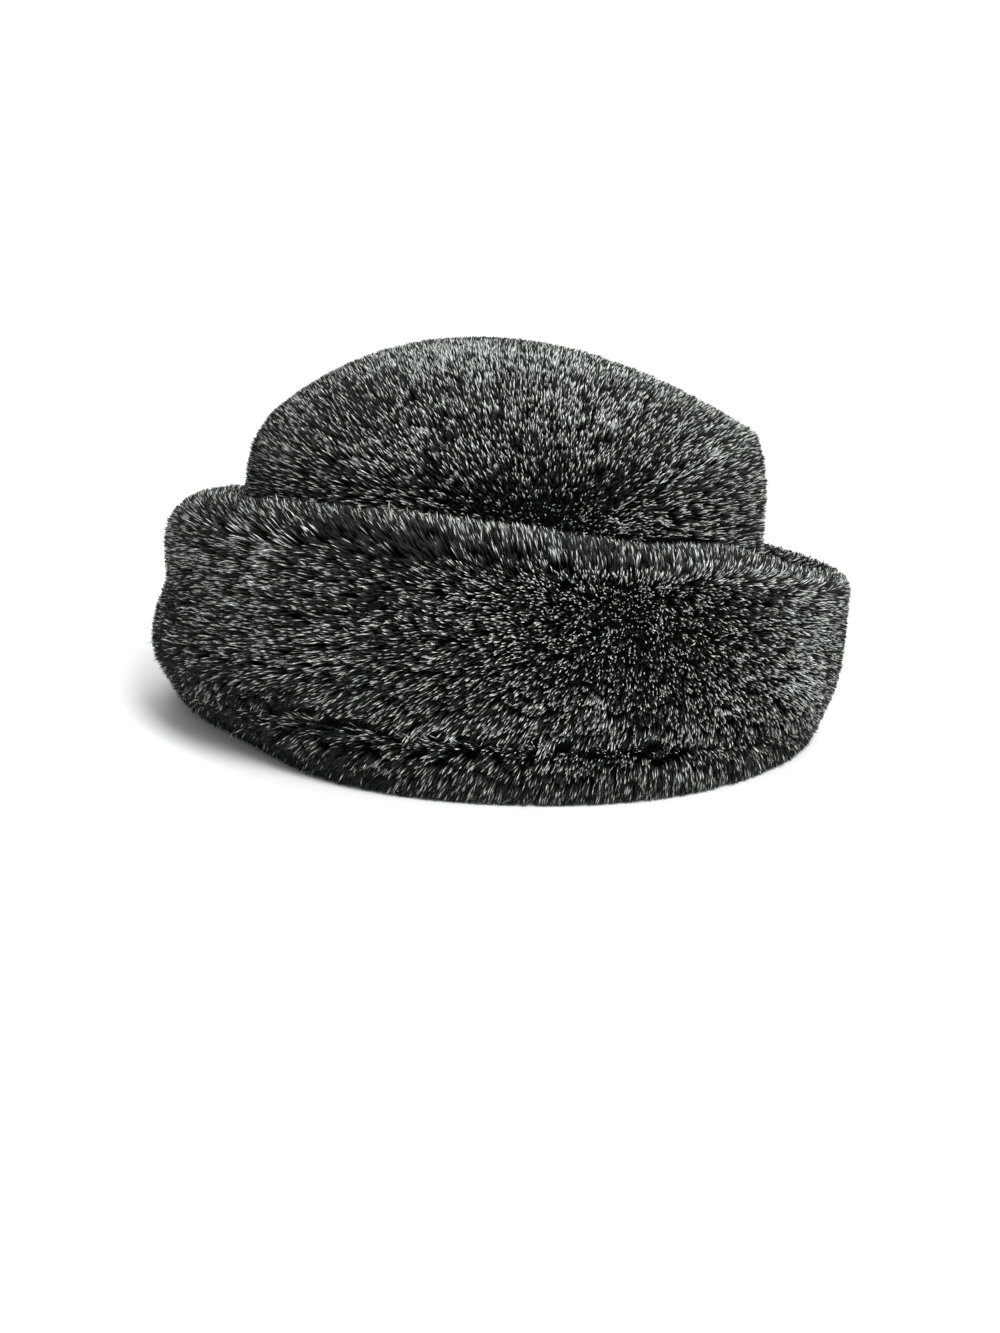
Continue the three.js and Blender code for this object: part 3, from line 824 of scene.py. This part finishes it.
def add_bump(nodes, links, shader, height, settings):
    bump = nodes.new("ShaderNodeBump")
    for key, value in settings.items():
        bump.inputs[key].default_value = value
    links.new(height, bump.inputs["Height"])
    links.new(bump.outputs["Normal"], shader.inputs["Normal"])


def strand_material():
    """Black pile fading to silver along each strand, by the strand's own shade."""
    material, nodes, links, shader = new_material("silver_tipped_pile")
    shade = attribute(nodes, "shade")
    along = attribute(nodes, "along")
    tip = ramp(nodes, links, shade, greys(TIP_GREYS))
    hue = nodes.new("ShaderNodeTexWhiteNoise")
    hue.noise_dimensions = "1D"
    links.new(shade, hue.inputs["W"])
    tint = ramp(nodes, links, hue.outputs["Value"], TIP_TINTS)
    tip = mix(nodes, links, 1.0, tip, tint, "MULTIPLY")
    root = ramp(nodes, links, shade, greys(ROOT_GREYS))
    tip_share = ramp(nodes, links, along, greys(TIP_SHARES))
    links.new(mix(nodes, links, tip_share, root, tip), shader.inputs["Base Color"])
    rough = nodes.new("ShaderNodeMapRange")
    links.new(along, rough.inputs["Value"])
    rough.inputs["To Min"].default_value = ROOT_ROUGHNESS
    rough.inputs["To Max"].default_value = TIP_ROUGHNESS
    links.new(rough.outputs["Result"], shader.inputs["Roughness"])
    shader.inputs["Specular IOR Level"].default_value = STRAND_SPECULAR
    return material


def underfur_material():
    """The dense black pile deep between the strands."""
    material, nodes, links, shader = new_material("black_underfur")
    fibre = noise(nodes, links, FIBRE_SCALE)
    fibre.inputs["Detail"].default_value = FIBRE_DETAIL
    colour = ramp(nodes, links, fibre.outputs["Fac"], greys(FIBRE_GREYS))
    links.new(colour, shader.inputs["Base Color"])
    add_bump(nodes, links, shader, fibre.outputs["Fac"], FIBRE_BUMP)
    shader.inputs["Roughness"].default_value = FIBRE_ROUGHNESS
    shader.inputs["Specular IOR Level"].default_value = 0
    return material


def backing_material():
    """The knitted backing of the fur cloth, bare inside the crown."""
    material, nodes, links, shader = new_material("knitted_backing")
    where = object_place(nodes)
    ribs = []
    for direction, scale in KNIT_RIBS.items():
        wave = nodes.new("ShaderNodeTexWave")
        wave.bands_direction = direction
        wave.inputs["Scale"].default_value = scale
        wave.inputs["Distortion"].default_value = KNIT_DISTORTION
        links.new(where, wave.inputs["Vector"])
        ribs.append(wave.outputs["Color"])
    knit = mix(nodes, links, 0.5, *ribs)
    links.new(ramp(nodes, links, knit, greys(KNIT_GREYS)), shader.inputs["Base Color"])
    add_bump(nodes, links, shader, knit, KNIT_BUMP)
    shader.inputs["Roughness"].default_value = KNIT_ROUGHNESS
    return material


def paper_material():
    """The white floor and backdrop."""
    material, nodes, links, shader = new_material("white_paper")
    grain = noise(nodes, links, PAPER_SCALE)
    links.new(ramp(nodes, links, grain.outputs["Fac"], greys(PAPER_GREYS)), shader.inputs["Base Color"])
    shader.inputs["Roughness"].default_value = PAPER_ROUGHNESS
    shader.inputs["Specular IOR Level"].default_value = PAPER_SPECULAR
    return material


# Building the hat
UNDERFUR_SEED = 11
STRAND_SEED = 100
SEAM_INSET = 0.02  # the bare side of a cloth stops this share of its section short of each seam
TIP_MIDDLE = 0.04  # of the way out, where the bare side of the tip closes

# Strand pieces: their fur, its material's slot, the number of strands, and where each sector starts
WHOLE = {"": 0}
QUARTERS = {"_back": 45, "_left": 135, "_front": 225, "_right": 315}
STRANDS = [
    {"piece": "crown_tip_pile", "fur": "dome", "slot": "crown_fur", "count": 42000, "sectors": WHOLE},
    {"piece": "crown_band_pile", "fur": "band", "slot": "crown_fur", "count": 31000, "sectors": WHOLE},
    {"piece": "brim_upper_pile", "fur": "upper", "slot": "brim_fur", "count": 117000, "sectors": QUARTERS},
    {"piece": "brim_hem_pile", "fur": "lower", "slot": "brim_fur", "count": 27000, "sectors": WHOLE},
    {"piece": "brim_inside_pile", "fur": "under", "slot": "brim_fur", "count": 19500, "sectors": WHOLE},
]

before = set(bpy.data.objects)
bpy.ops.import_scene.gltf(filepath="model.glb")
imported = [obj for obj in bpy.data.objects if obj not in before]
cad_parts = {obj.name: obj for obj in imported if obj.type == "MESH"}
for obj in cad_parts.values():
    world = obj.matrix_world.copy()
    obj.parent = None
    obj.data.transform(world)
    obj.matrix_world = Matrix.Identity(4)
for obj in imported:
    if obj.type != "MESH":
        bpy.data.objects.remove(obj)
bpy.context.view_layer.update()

strand_look = strand_material()
body_looks = [underfur_material(), backing_material()]


def adopt(obj, slot, *nodes):
    """Gives a piece its place on the hat's one body and hides the solids that it stands for."""
    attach(obj, "root")
    if nodes:
        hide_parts(*nodes)


def build_underfur():
    rng = np.random.default_rng(UNDERFUR_SEED)
    skin = {name: skin_rings(fur, UNDERFUR_ROWS[name], rng) for name, fur in FURS.items()}

    tip_inside = cloth_rings(dome_cloth, 1, TIP_MIDDLE)
    tip = shell("crown_tip_underfur", skin["dome"][1:], tip_inside, body_looks, capped=True)
    adopt(tip, "crown_fur", "crown_tip")

    band_inside = cloth_rings(lambda t, angle: band_wall(t, angle, 0), 1 - SEAM_INSET, SEAM_INSET)
    band = shell("crown_band_underfur", skin["band"], band_inside, body_looks)
    adopt(band, "crown_fur", "crown_band")

    upper_back = cloth_rings(lambda t, angle: brim_back(t, angle, HALF_GAP), 1 - SEAM_INSET, SEAM_INSET)
    upper = shell("brim_upper_underfur", skin["upper"], upper_back, body_looks)
    adopt(upper, "brim_fur", "brim_upper")

    lower_back = cloth_rings(lambda t, angle: brim_back(t, angle, -HALF_GAP), SEAM_INSET, 1 - SEAM_INSET)
    lower = shell("brim_lower_underfur", skin["lower"] + skin["under"][1:], lower_back, body_looks)
    adopt(lower, "brim_fur", "brim_lower")


def brim_back(t, angle, offset):
    """The side of one of the brim's cloths that faces the other."""
    return place(brim_cloth(t, angle, offset), angle)


def build_strands():
    for number, row in enumerate(STRANDS):
        rng = np.random.default_rng(STRAND_SEED + number)
        count = row["count"]
        strands = grow(FURS[row["fur"]], SILVER_AND_PAINTED_LIGHT_PATCHES[row["fur"]], count, rng)
        degrees = np.degrees(strands["angle"])
        wide = 360 / len(row["sectors"])
        for ending, start in row["sectors"].items():
            kept = (degrees - start) % 360 < wide
            adopt(strand_mesh(row["piece"] + ending, strands, kept, strand_look), row["slot"])


build_underfur()
build_strands()

# Stage: a white floor that curves up into a backdrop, in metres
FLOOR_HALF_WIDTH = 6
FLOOR_FRONT = -4
FLOOR_BACK = 2.2
SWEEP_RADIUS = 2.5
WALL_TOP = 7
SWEEP_STEPS = 24


def build_stage():
    profile = [(FLOOR_FRONT, 0), (0, 0), (FLOOR_BACK, 0)]
    for step in range(1, SWEEP_STEPS + 1):
        turn = step / SWEEP_STEPS * math.pi / 2
        profile.append((FLOOR_BACK + SWEEP_RADIUS * math.sin(turn), SWEEP_RADIUS * (1 - math.cos(turn))))
    profile.append((FLOOR_BACK + SWEEP_RADIUS, WALL_TOP))
    points = [(x, y, z) for y, z in profile for x in (-FLOOR_HALF_WIDTH, FLOOR_HALF_WIDTH)]
    faces = [(2 * i, 2 * i + 1, 2 * i + 3, 2 * i + 2) for i in range(len(profile) - 1)]
    mesh = bpy.data.meshes.new("floor")
    mesh.from_pydata(points, [], faces)
    mesh.polygons.foreach_set("use_smooth", np.ones(len(faces), bool))
    mesh.materials.append(paper_material())
    linked("floor", mesh)


# A lamp for the hat, one for the backdrop, and the room's own light. Places and sizes are in metres
LIGHTS = [
    {"name": "key", "at": (0.66, -1.55, 1.6), "to": (0, 0, 0.08), "size": 0.9, "watts": 58},
    {"name": "backdrop", "at": (0, 1.2, 3.5), "to": (0, 4.2, 0.4), "size": 2.5, "watts": 110},
]
ROOM_LIGHT = 0.38
ROOM_TO_THE_RIGHT = 0.25  # how much brighter the room is to the right, and darker to the left
ROOM_TO_THE_FRONT = 0.35  # brighter behind the camera
ROOM_UPWARDS = 0.2  # and above


def room(world):
    """A white room, brighter to the right, on the camera's side and above."""
    world.use_nodes = True
    nodes, links = world.node_tree.nodes, world.node_tree.links
    background = nodes["Background"]
    background.inputs["Color"].default_value = (1, 1, 1, 1)
    towards = nodes.new("ShaderNodeVectorMath")
    towards.operation = "DOT_PRODUCT"
    links.new(nodes.new("ShaderNodeTexCoord").outputs["Generated"], towards.inputs[0])
    towards.inputs[1].default_value = (ROOM_TO_THE_RIGHT, -ROOM_TO_THE_FRONT, ROOM_UPWARDS)
    strength = nodes.new("ShaderNodeMath")
    strength.operation = "ADD"
    strength.inputs[1].default_value = ROOM_LIGHT
    links.new(towards.outputs["Value"], strength.inputs[0])
    links.new(strength.outputs["Value"], background.inputs["Strength"])


def build_lights():
    for row in LIGHTS:
        light = bpy.data.lights.new(row["name"], "AREA")
        light.shape = "SQUARE"
        light.size = row["size"]
        light.energy = row["watts"]
        lamp = linked(row["name"], light)
        lamp.location = row["at"]
        lamp.rotation_euler = (Vector(row["to"]) - lamp.location).to_track_quat("-Z", "Y").to_euler()
    world = bpy.data.worlds.new("soft_room")
    room(world)
    bpy.context.scene.world = world


# Camera, at the photograph's angle to the hat
TARGET = Vector((0, 0, 0.085))  # a place in the hat, in metres
DISTANCE = 0.95  # of the camera from it
ELEVATION = math.radians(9.3)
ROLL = math.radians(2.7)
SENSOR = 36  # its width, in mm
FOCAL_PIXELS = 2175.9  # the focal length, in pixels of the picture
IMAGE = (1000, 1333)  # the picture's width and height
TARGET_PIXEL = (504.1, 522.7)  # where that place shows in it


def build_camera():
    data = bpy.data.cameras.new("camera")
    data.sensor_fit = "HORIZONTAL"
    data.sensor_width = SENSOR
    data.lens = SENSOR * FOCAL_PIXELS / IMAGE[0]
    camera = linked("camera", data)
    camera.location = TARGET + DISTANCE * Vector((0, -math.cos(ELEVATION), math.sin(ELEVATION)))
    down = math.atan((IMAGE[1] / 2 - TARGET_PIXEL[1]) / FOCAL_PIXELS)
    aside = math.atan((IMAGE[0] / 2 - TARGET_PIXEL[0]) / FOCAL_PIXELS)
    look = (TARGET - camera.location).to_track_quat("-Z", "Y").to_matrix()
    turn = Matrix.Rotation(ROLL, 3, "Z") @ Matrix.Rotation(-down, 3, "X") @ Matrix.Rotation(-aside, 3, "Y")
    camera.rotation_euler = (look @ turn).to_euler()
    bpy.context.scene.camera = camera


build_stage()
build_lights()
build_camera()
bpy.context.scene.view_settings.view_transform = "Standard"
